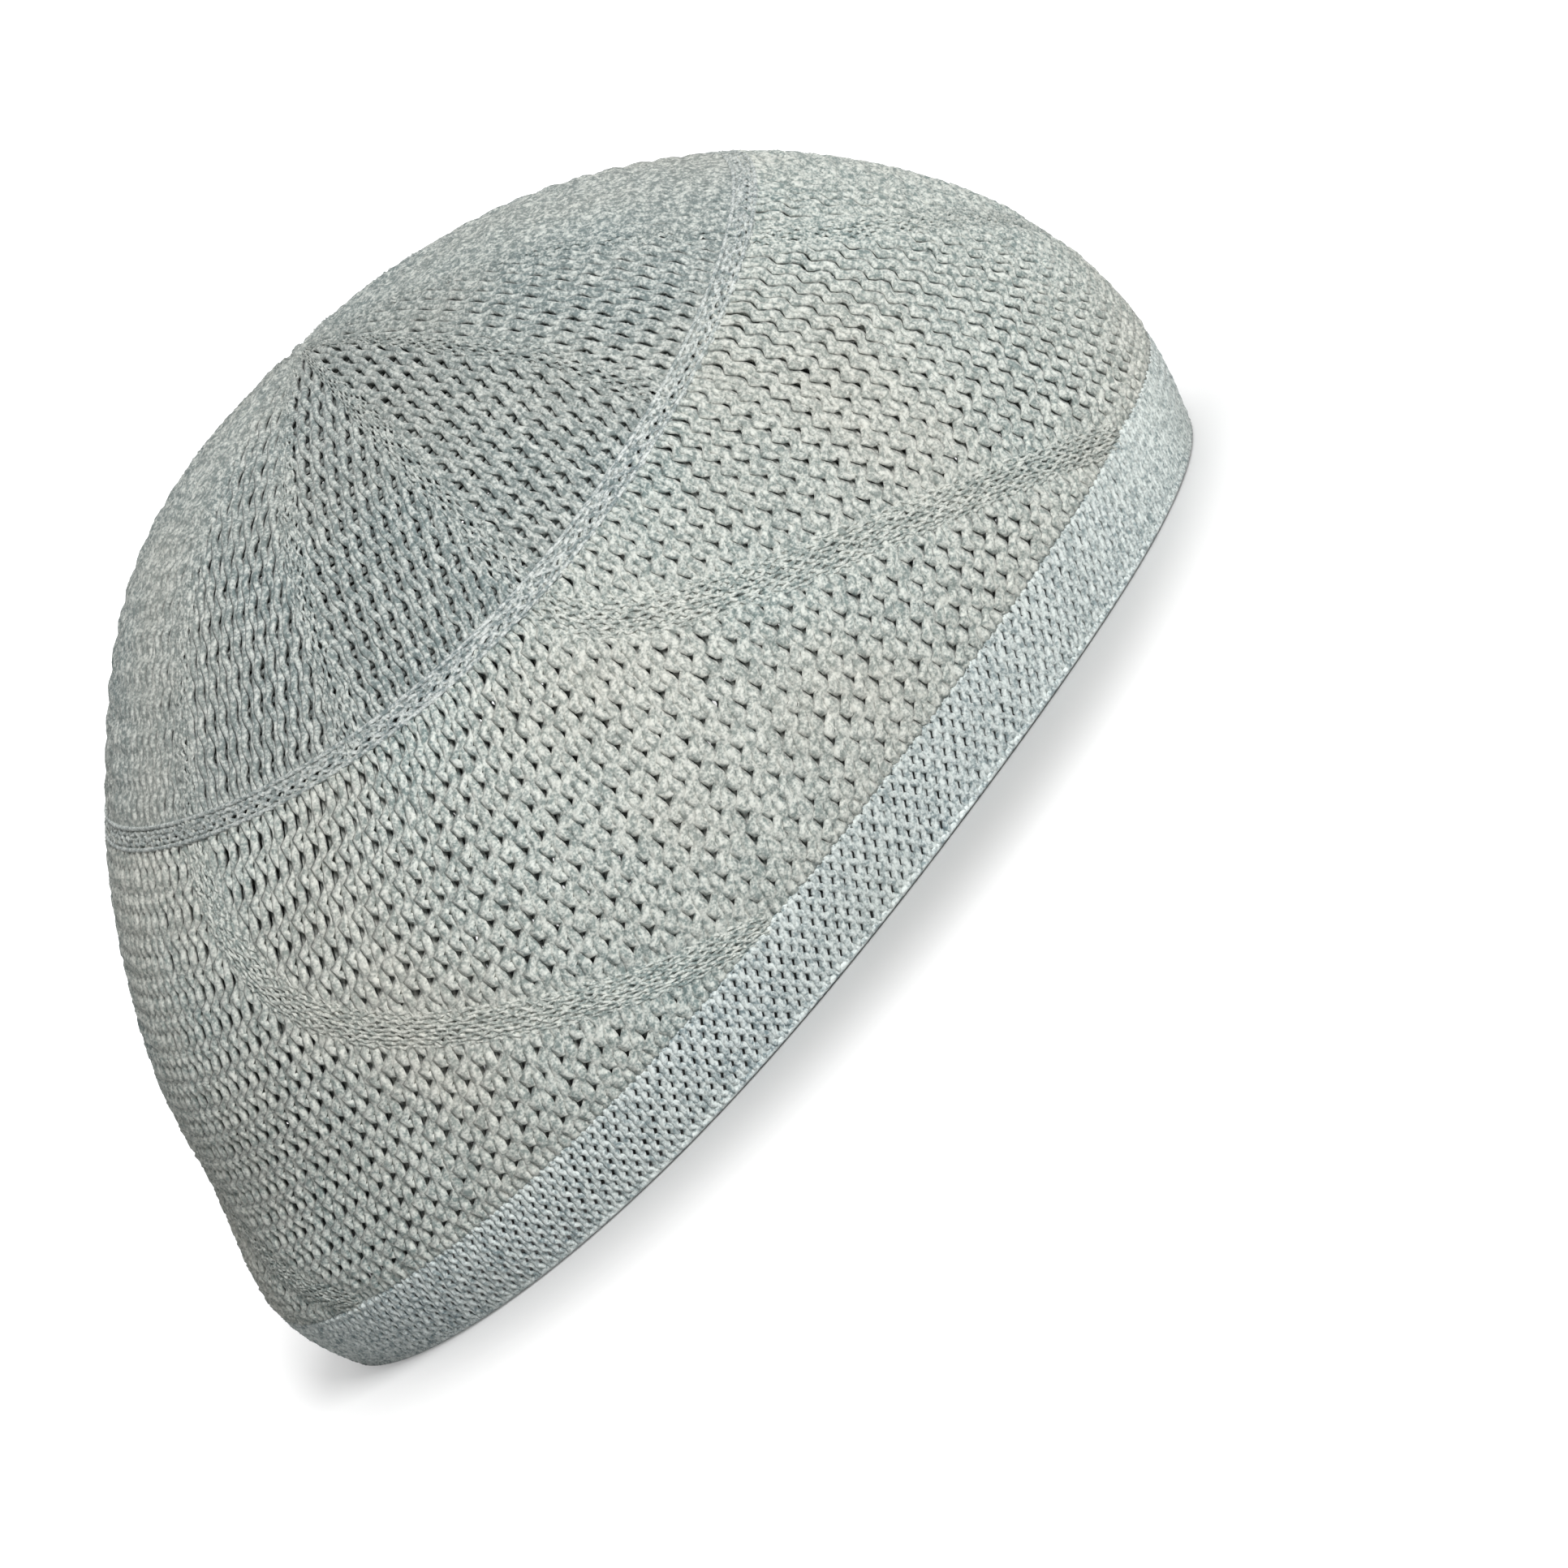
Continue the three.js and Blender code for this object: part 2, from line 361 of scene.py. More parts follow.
@dataclass(frozen=True)
class SlitStitch:
    """How the strands of the side wall run past its slits.

    The strands run in pairs, and a slit opens between two pairs in each row. Shares are of the pitch between
    two slits. `jog` is the share of a row's move to the front that is made below the slit, so that the slit
    ends in a hook. `swing` opens the slits and `bow` bends them. The strand behind a slit swells into a lobe:
    it rises by `lift` there while the other strand sinks, and between the slits the other strand rises.
    The constants are places within a row: the steps of a strand, where the move to the front starts, where a
    slit closes and opens, and the top of the lobe. At `REST_OPEN` a strand lies on its own lane.
    """

    STATIONS = (0.0, 0.2, 0.42, 0.64, 0.82)
    JOG_FROM = 0.6
    CLOSES = (0.25, 0.56)
    OPENS = (0.68, 0.86)
    LOBE_AT = 0.1
    REST_OPEN = 0.3

    jog: float = 0.8
    swing: float = 0.135
    bow: float = 0.09
    lift: float = 0.24 * MM
    lobe_width: float = 0.6
    low_width: float = 0.44
    tie_width: float = 0.6
    half_depth: float = 0.7 * MM

    def rows(self, count: int) -> np.ndarray:
        """Lists the places of a strand's steps, in rows; a slit is widest just above a whole number."""
        places = (np.arange(count)[:, None] + np.array(self.STATIONS)[None]).ravel()
        return np.append(places, float(count))

    def jogged(self, row: np.ndarray) -> np.ndarray:
        """Turns steady progress up the rows into progress that comes mostly below each slit."""
        share = row - np.floor(row)
        return np.floor(row) + (1 - self.jog) * share + self.jog * fade(share, self.JOG_FROM, 1.0)

    def opened(self, row: np.ndarray) -> np.ndarray:
        """Finds how open the slit is, from 0 at the tie between two slits to 1 at its middle."""
        share = row - np.floor(row)
        return np.maximum(1 - fade(share, *self.CLOSES), fade(share, *self.OPENS))

    def wave(self, row: np.ndarray) -> np.ndarray:
        """Finds how far a place is towards a lobe, 1 at its top and -1 at the tie above it."""
        return np.cos(2 * np.pi * (row - self.LOBE_AT))

    def sideways(
        self, side: np.ndarray, row: np.ndarray, slit: np.ndarray, opening: np.ndarray
    ) -> np.ndarray:
        """Finds how far a strand at the rear (1) or front (-1) side of a slit is off its lane, in pitches."""
        return self.swing * side * (slit - self.REST_OPEN) - self.bow * self.wave(row) * opening

    def width(self, side: np.ndarray, slit: np.ndarray) -> np.ndarray:
        """Finds a strand's width in pitches."""
        open_width = np.where(side > 0, self.lobe_width, self.low_width)
        return self.tie_width + (open_width - self.tie_width) * slit


def uneven(rng: np.random.Generator, strands: int, rows: np.ndarray, size: float) -> np.ndarray:
    """Makes smooth random values along strands, one knot for each row of stitches.

    Args:
        rng: the source of the values.
        strands: how many strands there are.
        rows: places along each strand, in rows, one line for each strand.
        size: the spread of the values.

    Returns:
        A value for each place.
    """
    knots = rng.normal(0.0, size, (strands, int(np.ceil(rows.max())) + 3))
    base = np.floor(rows).astype(int)
    share = fade(rows - base, 0, 1)
    picked = np.arange(strands)[:, None]
    return knots[picked, base] * (1 - share) + knots[picked, base + 1] * share


@dataclass(frozen=True)
class Spread:
    """How uneven a net is: `lane` in pitches, `height` in metres, `width` and `opening` as shares."""

    lane: float
    height: float
    width: float = 0.06
    opening: float = 0.0


def join_meshes(name: str, meshes: list[bpy.types.Mesh]) -> bpy.types.Mesh:
    """Joins meshes into one, which keeps their attributes, and welds strands that close on themselves.

    Args:
        name: the new mesh's name.
        meshes: the meshes to join, which are removed.

    Returns:
        The joined mesh, smooth shaded, with its faces outwards.
    """
    work = bmesh.new()
    for mesh in meshes:
        work.from_mesh(mesh)
    bmesh.ops.remove_doubles(work, verts=work.verts, dist=WELD)
    if work.calc_volume(signed=True) < 0:
        bmesh.ops.reverse_faces(work, faces=work.faces)
    for face in work.faces:
        face.smooth = True
    joined = bpy.data.meshes.new(name)
    work.to_mesh(joined)
    work.free()
    for mesh in meshes:
        bpy.data.meshes.remove(mesh)
    return joined


def add_piece(name: str, mesh: bpy.types.Mesh, material: bpy.types.Material) -> bpy.types.Object:
    """Makes a mesh a piece of the cap with its finish, and hangs it on the cap's body.

    Args:
        name: the piece's name.
        mesh: its mesh, in place.
        material: its finish.

    Returns:
        The piece.
    """
    piece = bpy.data.objects.new(name, mesh)
    bpy.context.scene.collection.objects.link(piece)
    mesh.materials.append(material)
    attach(piece, BODY)
    LOG.info("%s: %d faces", name, len(mesh.polygons))
    return piece


@dataclass(frozen=True)
class Guide:
    """A line on the cap that a strip of close knit follows, as points and outward normals."""

    points: np.ndarray
    normals: np.ndarray
    is_loop: bool = False

    @classmethod
    def through(cls, at: np.ndarray, degrees: np.ndarray, steps: int, is_loop: bool = False) -> "Guide":
        """Makes a guide of evenly spaced points through places on the cap.

        Args:
            at: shares of the height along the line.
            degrees: angles along the line.
            steps: how many points the guide has.
            is_loop: True for a line that closes on itself.

        Returns:
            The guide.
        """
        rough = DOME.point(at, degrees)
        lengths = np.concatenate([[0], np.cumsum(np.linalg.norm(np.diff(rough, axis=0), axis=-1))])
        wanted = np.linspace(0, lengths[-1], steps, endpoint=not is_loop)
        at_even = np.interp(wanted, lengths, at)
        degrees_even = np.interp(wanted, lengths, degrees)
        return cls(DOME.point(at_even, degrees_even), DOME.normal(at_even, degrees_even), is_loop)

    @classmethod
    def ring(cls, at: float, steps: int, places: int = ROUND_PLACES) -> "Guide":
        """Makes a guide right round the cap.

        Args:
            at: its share of the height.
            steps: how many points the guide has.
            places: how many places it is measured through.

        Returns:
            The guide.
        """
        around = np.linspace(0, 360, places + 1)
        return cls.through(np.full(around.shape, at), around, steps, is_loop=True)

    def sideways(self) -> np.ndarray:
        """Finds the way across the strip at each point."""
        return unit(np.cross(tangents(self.points, self.is_loop), self.normals))


@dataclass(frozen=True)
class CloseKnit:
    """A strip of fine close stitches: strands side by side that swing just enough to leave small pits.

    `stitch` is the length of one stitch, `swing` is a share of a strand's width and `depth` is half a
    strand's thickness. `droop` is how far the strip's edges lie below its middle. `lane_noise`, a share of
    the strip's width, and `lift_noise` make the strands uneven.
    """

    strands: int = 7
    stitch: float = 1.35 * MM
    steps_per_stitch: int = 2
    sides: int = 5
    swing: float = 0.32
    bulge: float = 0.08 * MM
    depth: float = 0.36 * MM
    droop: float = 0.4 * MM
    lane_noise: float = 0.016
    lift_noise: float = 0.1 * MM

    def steps(self, length: float, is_loop: bool = False) -> int:
        """Counts the steps along a strip.

        Args:
            length: the strip's length.
            is_loop: True for a strip that closes on itself, which has whole pairs of stitches.

        Returns:
            How many points its guide has.
        """
        stitches = length / self.stitch
        if is_loop:
            return 2 * round(stitches / 2) * self.steps_per_stitch
        return round(stitches * self.steps_per_stitch) + 1

    def yarns(self, guide: Guide, width: np.ndarray, height: np.ndarray, rng: np.random.Generator) -> Yarns:
        """Lays the strip's strands along a guide.

        Args:
            guide: the line that the strip follows.
            width: the strip's width at each point of the guide.
            height: how far the strands' middles lie out of the cap's surface there.
            rng: the source of small unevenness.

        Returns:
            The strands.
        """
        count = len(guide.points)
        strand = np.arange(self.strands)[:, None]
        row = (np.arange(count) / self.steps_per_stitch)[None, :]
        turn = np.cos(np.pi * row) * np.where(strand % 2 == 0, 1.0, -1.0)
        lane = (strand + 0.5) / self.strands - 0.5 - self.swing * turn / self.strands
        lane = lane + rng.normal(0, self.lane_noise, lane.shape)
        lift = height[None, :] + self.bulge * np.cos(2 * np.pi * row) - self.droop * (2 * lane) ** 2
        lift = lift + rng.normal(0, self.lift_noise, lane.shape)
        side = guide.sideways()[None]
        lines = guide.points[None] + side * (lane * width[None, :])[..., None]
        lines = lines + guide.normals[None] * lift[..., None]
        normals = np.broadcast_to(guide.normals[None], lines.shape)
        half_width = np.broadcast_to(0.5 * width[None, :] / self.strands, lane.shape)
        half_depth = np.full(lane.shape, self.depth)
        return Yarns(lines, normals, half_width, half_depth, self.sides, guide.is_loop)


@dataclass(frozen=True)
class Cord:
    """One round strand, such as the edge of the rim or a raised line of the seam."""

    radius: float
    sides: int = 6

    def yarns(self, guide: Guide, height: float) -> Yarns:
        """Lays the cord along a guide.

        Args:
            guide: the line that it follows.
            height: how far its middle lies out of the surface.

        Returns:
            The cord, as one strand.
        """
        lines = (guide.points + guide.normals * height)[None]
        size = np.full(lines.shape[:2], self.radius)
        return Yarns(lines, guide.normals[None], size, size, self.sides, guide.is_loop)


@dataclass(frozen=True)
class SwirlLine:
    """The path of the six close-knit lines of the side wall, which turn as they go down.

    A line turns by `sweep` degrees in all, ever faster by `power`. The slits close within `edge` of its sides.
    """

    STEP = 2e-3

    count: int = 6
    first_degrees: float = 30.0
    sweep: float = 57.0
    power: float = 1.7
    strands: int = 9
    half_width: float = 3.7 * MM
    edge: float = 1.6 * MM

    def turn(self, at: np.ndarray) -> np.ndarray:
        """Finds how many degrees a line has turned by a share of the height."""
        down = np.clip((SEAM.at - at) / (SEAM.at - HEM_TOP.at), 0, 1)
        return self.sweep * down**self.power

    def cover(self, at: np.ndarray, degrees: np.ndarray) -> np.ndarray:
        """Finds how far the net lies under a line.

        Args:
            at: shares of the height.
            degrees: angles round the cap.

        Returns:
            The cover, from 0 beside a line to 1 under it.
        """
        spacing = 360 / self.count
        off = degrees - self.first_degrees + self.turn(at)
        off = (off + spacing / 2) % spacing - spacing / 2
        rise, round_cap = DOME.slopes(at, degrees)
        painted_bounce_mask = (self.turn(at + self.STEP) - self.turn(at - self.STEP)) / (2 * self.STEP)
        up = np.linalg.norm(rise, axis=-1)
        sidewards = np.linalg.norm(round_cap, axis=-1)
        slope = painted_bounce_mask * sidewards / up
        distance = np.abs(off) * sidewards / np.sqrt(1 + slope**2)
        return 1 - fade(distance, self.half_width - self.edge, self.half_width + self.edge)


class Finish(Enum):
    """The four knits of the cap, by the record's material slots."""

    HEM = "hem_knit"
    SIDE = "side_knit"
    SEAM = "seam_knit"
    CROWN = "crown_knit"


@dataclass(frozen=True)
class Melange:
    """The look of one knit: a mélange yarn of light and dark fibres twisted from three plies.

    Colours are linear. `dark_share` is how much of the yarn is dark fibre. The warm colour is painted light
    and not the yarn's own: a skin-coloured tint that stands in for warm light bounced into the knit.
    """

    slot: Finish
    light: tuple[float, float, float]
    dark: tuple[float, float, float]
    painted_warm_bounce: tuple[float, float, float]
    dark_share: float
    roughness: float = 0.88
    specular: float = 0.25
    sheen: float = 0.08
    sheen_roughness: float = 0.5


# The third colour of each look is a painted warm bounce, a skin-coloured tint that is not the yarn's own.
LOOKS = (
    Melange(Finish.HEM, (0.68, 0.73, 0.715), (0.18, 0.235, 0.25), (0.52, 0.54, 0.48), 0.355),
    Melange(Finish.SIDE, (0.61, 0.64, 0.6), (0.165, 0.215, 0.21), (0.6, 0.52, 0.43), 0.385),
    Melange(Finish.SEAM, (0.63, 0.66, 0.64), (0.16, 0.2, 0.205), (0.5, 0.52, 0.46), 0.39),
    Melange(Finish.CROWN, (0.57, 0.6, 0.57), (0.145, 0.185, 0.185), (0.52, 0.48, 0.41), 0.42),
)


def feed(tree: bpy.types.NodeTree, socket: bpy.types.NodeSocket, value: object) -> None:
    """Links an output to an input, or sets the input to a plain value.

    Args:
        tree: the nodes' tree.
        socket: the input.
        value: the output, or the value.
    """
    if isinstance(value, bpy.types.NodeSocket):
        tree.links.new(value, socket)
    else:
        socket.default_value = value


def set_inputs(node: bpy.types.Node, values: dict[str, object]) -> None:
    """Sets inputs of a node by their names."""
    for name, value in values.items():
        node.inputs[name].default_value = value


def add_math(tree: bpy.types.NodeTree, operation: str, *values: object) -> bpy.types.NodeSocket:
    """Adds a math node.

    Args:
        tree: the tree that it goes in.
        operation: what it does.
        values: its inputs in order, numbers or sockets.

    Returns:
        Its output.
    """
    node = tree.nodes.new("ShaderNodeMath")
    node.operation = operation
    for place, value in enumerate(values):
        feed(tree, node.inputs[place], value)
    return node.outputs[0]


def add_noise(
    tree: bpy.types.NodeTree, place: bpy.types.NodeSocket, scale: float, detail: float
) -> bpy.types.NodeSocket:
    """Adds a noise texture.

    Args:
        tree: the tree that it goes in.
        place: the place that it is read at.
        scale: how many times it repeats in a metre.
        detail: how many finer layers it has.

    Returns:
        Its value.
    """
    node = tree.nodes.new("ShaderNodeTexNoise")
    set_inputs(node, {"Scale": scale, "Detail": detail})
    feed(tree, node.inputs["Vector"], place)
    return node.outputs["Fac"]


def add_range(
    tree: bpy.types.NodeTree,
    value: bpy.types.NodeSocket,
    source: tuple[float, float],
    target: tuple[float, float] = (0.0, 1.0),
    is_smooth: bool = False,
) -> bpy.types.NodeSocket:
    """Adds a node that carries one range of values over to another.

    Args:
        tree: the tree that it goes in.
        value: what it reads.
        source: the ends of the range that it reads.
        target: the ends of the range that it gives.
        is_smooth: True to ease at both ends.

    Returns:
        Its output.
    """
    node = tree.nodes.new("ShaderNodeMapRange")
    node.interpolation_type = "SMOOTHSTEP" if is_smooth else "LINEAR"
    set_inputs(node, {"From Min": source[0], "From Max": source[1], "To Min": target[0], "To Max": target[1]})
    feed(tree, node.inputs["Value"], value)
    return node.outputs["Result"]


def add_mix(
    tree: bpy.types.NodeTree, factor: object, first: object, second: object, blend: str = "MIX"
) -> bpy.types.NodeSocket:
    """Adds a node that mixes two colours.

    Args:
        tree: the tree that it goes in.
        factor: the share of the second colour.
        first: the colour at a factor of 0.
        second: the colour at a factor of 1.
        blend: the way they are mixed.

    Returns:
        The mixed colour.
    """
    node = tree.nodes.new("ShaderNodeMix")
    node.data_type = "RGBA"
    node.blend_type = blend
    for name, value in (("Factor", factor), ("A", first), ("B", second)):
        feed(tree, node.inputs[name], value)
    return node.outputs["Result"]


def add_attribute(tree: bpy.types.NodeTree, name: str, output: str) -> bpy.types.NodeSocket:
    """Reads one of the strands' point attributes.

    Args:
        tree: the tree that it is read in.
        name: the attribute's name.
        output: Fac for a value, Vector for a vector.

    Returns:
        The attribute.
    """
    node = tree.nodes.new("ShaderNodeAttribute")
    node.attribute_name = name
    return node.outputs[output]


def new_group(
    name: str, inputs: dict[str, str], outputs: dict[str, str]
) -> tuple[bpy.types.NodeTree, bpy.types.Node, bpy.types.Node]:
    """Starts a node group.

    Args:
        name: the group's name.
        inputs: the kind of each input, Color or Float, by its name.
        outputs: the kind of each output, by its name.

    Returns:
        The group, the node that brings its inputs in and the node that takes its outputs out.
    """
    tree = bpy.data.node_groups.new(name, "ShaderNodeTree")
    for way, sockets in (("INPUT", inputs), ("OUTPUT", outputs)):
        for socket, kind in sockets.items():
            tree.interface.new_socket(socket, in_out=way, socket_type=f"NodeSocket{kind}")
    return tree, tree.nodes.new("NodeGroupInput"), tree.nodes.new("NodeGroupOutput")


class KnitShop:
    """Makes the materials, with node groups that all of them share.

    Noise scales are per metre. A fleck is dark where the noise is over `FLECK_LEVEL` less the yarn's share
    of dark fibre. Over a range of slow noise the yarn turns warm: this is painted light, a skin-coloured tint
    in broad patches that stands in for warm light bounced into the knit. The grooves between the plies get
    painted shade.
    """

    FIBRE_SCALE = 2600.0
    # How often the patches of painted warm light repeat in a metre.
    FLECK_SCALE = 1000.0
    PAINTED_BOUNCE_SCALE = 28.0
    WANDER_SCALE = 500.0
    NOISE_SHARE = 0.55
    TONE_SHARE = 0.02
    FLECK_LEVEL = 0.95
    FLECK_EDGE = 0.16
    # Painted warm light: the range of slow noise over which the warm tint comes in, its largest share, and how
    # warm the tint is.
    PAINTED_BOUNCE_RANGE = (0.35, 0.7)
    PAINTED_BOUNCE_PEAK = 0.5
    PAINTED_BOUNCE_SHARE = 0.5
    PLIES = 3.0
    TURNS_PER_METRE = 420.0
    WANDER = 2.0
    HAIR_HEIGHT = 0.5
    # Painted shade in the grooves between the plies: where it starts and how dark the colour gets there.
    PAINTED_GROOVE_EDGE = 0.35
    PAINTED_GROOVE_SHADE = 0.85
    BUMP_STRENGTH = 0.35
    BUMP_DISTANCE = 0.12 * MM

    def __init__(self) -> None:
        """Builds the shared groups."""
        self.fibre = self._fibre_group()
        self.twist = self._twist_group()

    def _fibre_group(self) -> bpy.types.NodeTree:
        """Makes the group that mixes light and dark fibres into a mélange colour.

        Returns:
            The group, whose output Color changes over the surface.
        """
        inputs = {"Light": "Color", "Dark": "Color", "Painted Warm Bounce": "Color", "Dark Share": "Float"}
        tree, inside, outside = new_group("melange_fibres", inputs, {"Color": "Color"})
        place = tree.nodes.new("ShaderNodeTexCoord").outputs["Object"]
        fine = add_noise(tree, place, self.FIBRE_SCALE, 2.0)
        fleck = add_noise(tree, place, self.FLECK_SCALE, 1.0)
        painted_bounce_noise = add_noise(tree, place, self.PAINTED_BOUNCE_SCALE, 2.0)
        mixed = add_math(tree, "MULTIPLY", fine, self.NOISE_SHARE)
        mixed = add_math(tree, "MULTIPLY_ADD", fleck, self.NOISE_SHARE, mixed)
        mixed = add_math(tree, "MULTIPLY_ADD", add_attribute(tree, "tone", "Fac"), self.TONE_SHARE, mixed)
        middle = add_math(tree, "SUBTRACT", self.FLECK_LEVEL, inside.outputs["Dark Share"])
        level = add_math(tree, "SUBTRACT", mixed, middle)
        mask = add_range(tree, level, (-self.FLECK_EDGE, self.FLECK_EDGE), is_smooth=True)
        cool = add_mix(tree, mask, inside.outputs["Light"], inside.outputs["Dark"])
        # Painted light: a warm, skin-coloured tint laid in slow patches, standing in for warm light bounced
        # into the knit.
        painted_warm_bounce = add_mix(tree, self.PAINTED_BOUNCE_SHARE, cool, inside.outputs["Painted Warm Bounce"])
        painted_bounce_mask = add_range(tree, painted_bounce_noise, self.PAINTED_BOUNCE_RANGE, (0.0, self.PAINTED_BOUNCE_PEAK))
        tree.links.new(add_mix(tree, painted_bounce_mask, cool, painted_warm_bounce), outside.inputs["Color"])
        return tree

    def _twist_group(self) -> bpy.types.NodeTree:
        """Makes the group that raises the plies and fibres of a strand, and paints shade between the plies.

        Returns:
            The group, whose output Height feeds a bump and whose other output is painted shade: the colour is
            darkened in the grooves between the plies.
        """
        outputs = {"Height": "Float", "Painted Groove Shade": "Float"}
        tree, inside, outside = new_group("twisted_plies_painted_shade", {"Turns Per Metre": "Float"}, outputs)
        parts = tree.nodes.new("ShaderNodeSeparateXYZ")
        tree.links.new(add_attribute(tree, "ply", "Vector"), parts.inputs[0])
        angle = add_math(tree, "ARCTAN2", parts.outputs["Y"], parts.outputs["X"])
        length = add_math(tree, "MULTIPLY", parts.outputs["Z"], inside.outputs["Turns Per Metre"])
        place = tree.nodes.new("ShaderNodeTexCoord").outputs["Object"]
        wander = add_math(tree, "MULTIPLY", add_noise(tree, place, self.WANDER_SCALE, 1.0), self.WANDER)
        phase = add_math(tree, "MULTIPLY_ADD", length, 2 * math.pi, wander)
        turned = add_math(tree, "MULTIPLY_ADD", angle, self.PLIES, phase)
        wave = add_math(tree, "MULTIPLY_ADD", add_math(tree, "SINE", turned), 0.5, 0.5)
        hairs = add_noise(tree, place, self.FIBRE_SCALE, 2.0)
        height = add_math(tree, "MULTIPLY_ADD", hairs, self.HAIR_HEIGHT, wave)
        # Painted shade: the colour is darkened in the grooves between the plies, where shade falls.
        painted_groove_shade = add_range(tree, wave, (0.0, self.PAINTED_GROOVE_EDGE), (self.PAINTED_GROOVE_SHADE, 1.0))
        tree.links.new(height, outside.inputs["Height"])
        tree.links.new(painted_groove_shade, outside.inputs["Painted Groove Shade"])
        return tree

    def make(self, look: Melange) -> bpy.types.Material:
        """Makes the material of one knit.

        Args:
            look: the knit's colours and softness.

        Returns:
            The material.
        """
        material = bpy.data.materials.new(look.slot.value)
        material.use_nodes = True
        tree = material.node_tree
        shader = tree.nodes["Principled BSDF"]
        softness = {"Roughness": look.roughness, "Specular IOR Level": look.specular}
        set_inputs(shader, softness | {"Sheen Weight": look.sheen, "Sheen Roughness": look.sheen_roughness})
        fibre = tree.nodes.new("ShaderNodeGroup")
        fibre.node_tree = self.fibre
        # The third colour feeds the painted warm bounce.
        for name, colour in (("Light", look.light), ("Dark", look.dark), ("Painted Warm Bounce", look.painted_warm_bounce)):
            fibre.inputs[name].default_value = (*colour, 1.0)
        fibre.inputs["Dark Share"].default_value = look.dark_share
        twist = tree.nodes.new("ShaderNodeGroup")
        twist.node_tree = self.twist
        twist.inputs["Turns Per Metre"].default_value = self.TURNS_PER_METRE
        # Painted shade: the mélange colour is multiplied down in the grooves between the plies.
        with_painted_groove_shade = add_mix(tree, 1.0, fibre.outputs["Color"], twist.outputs["Painted Groove Shade"], "MULTIPLY")
        tree.links.new(with_painted_groove_shade, shader.inputs["Base Color"])
        bump = tree.nodes.new("ShaderNodeBump")
        set_inputs(bump, {"Strength": self.BUMP_STRENGTH, "Distance": self.BUMP_DISTANCE})
        tree.links.new(twist.outputs["Height"], bump.inputs["Height"])
        tree.links.new(bump.outputs["Normal"], shader.inputs["Normal"])
        return material


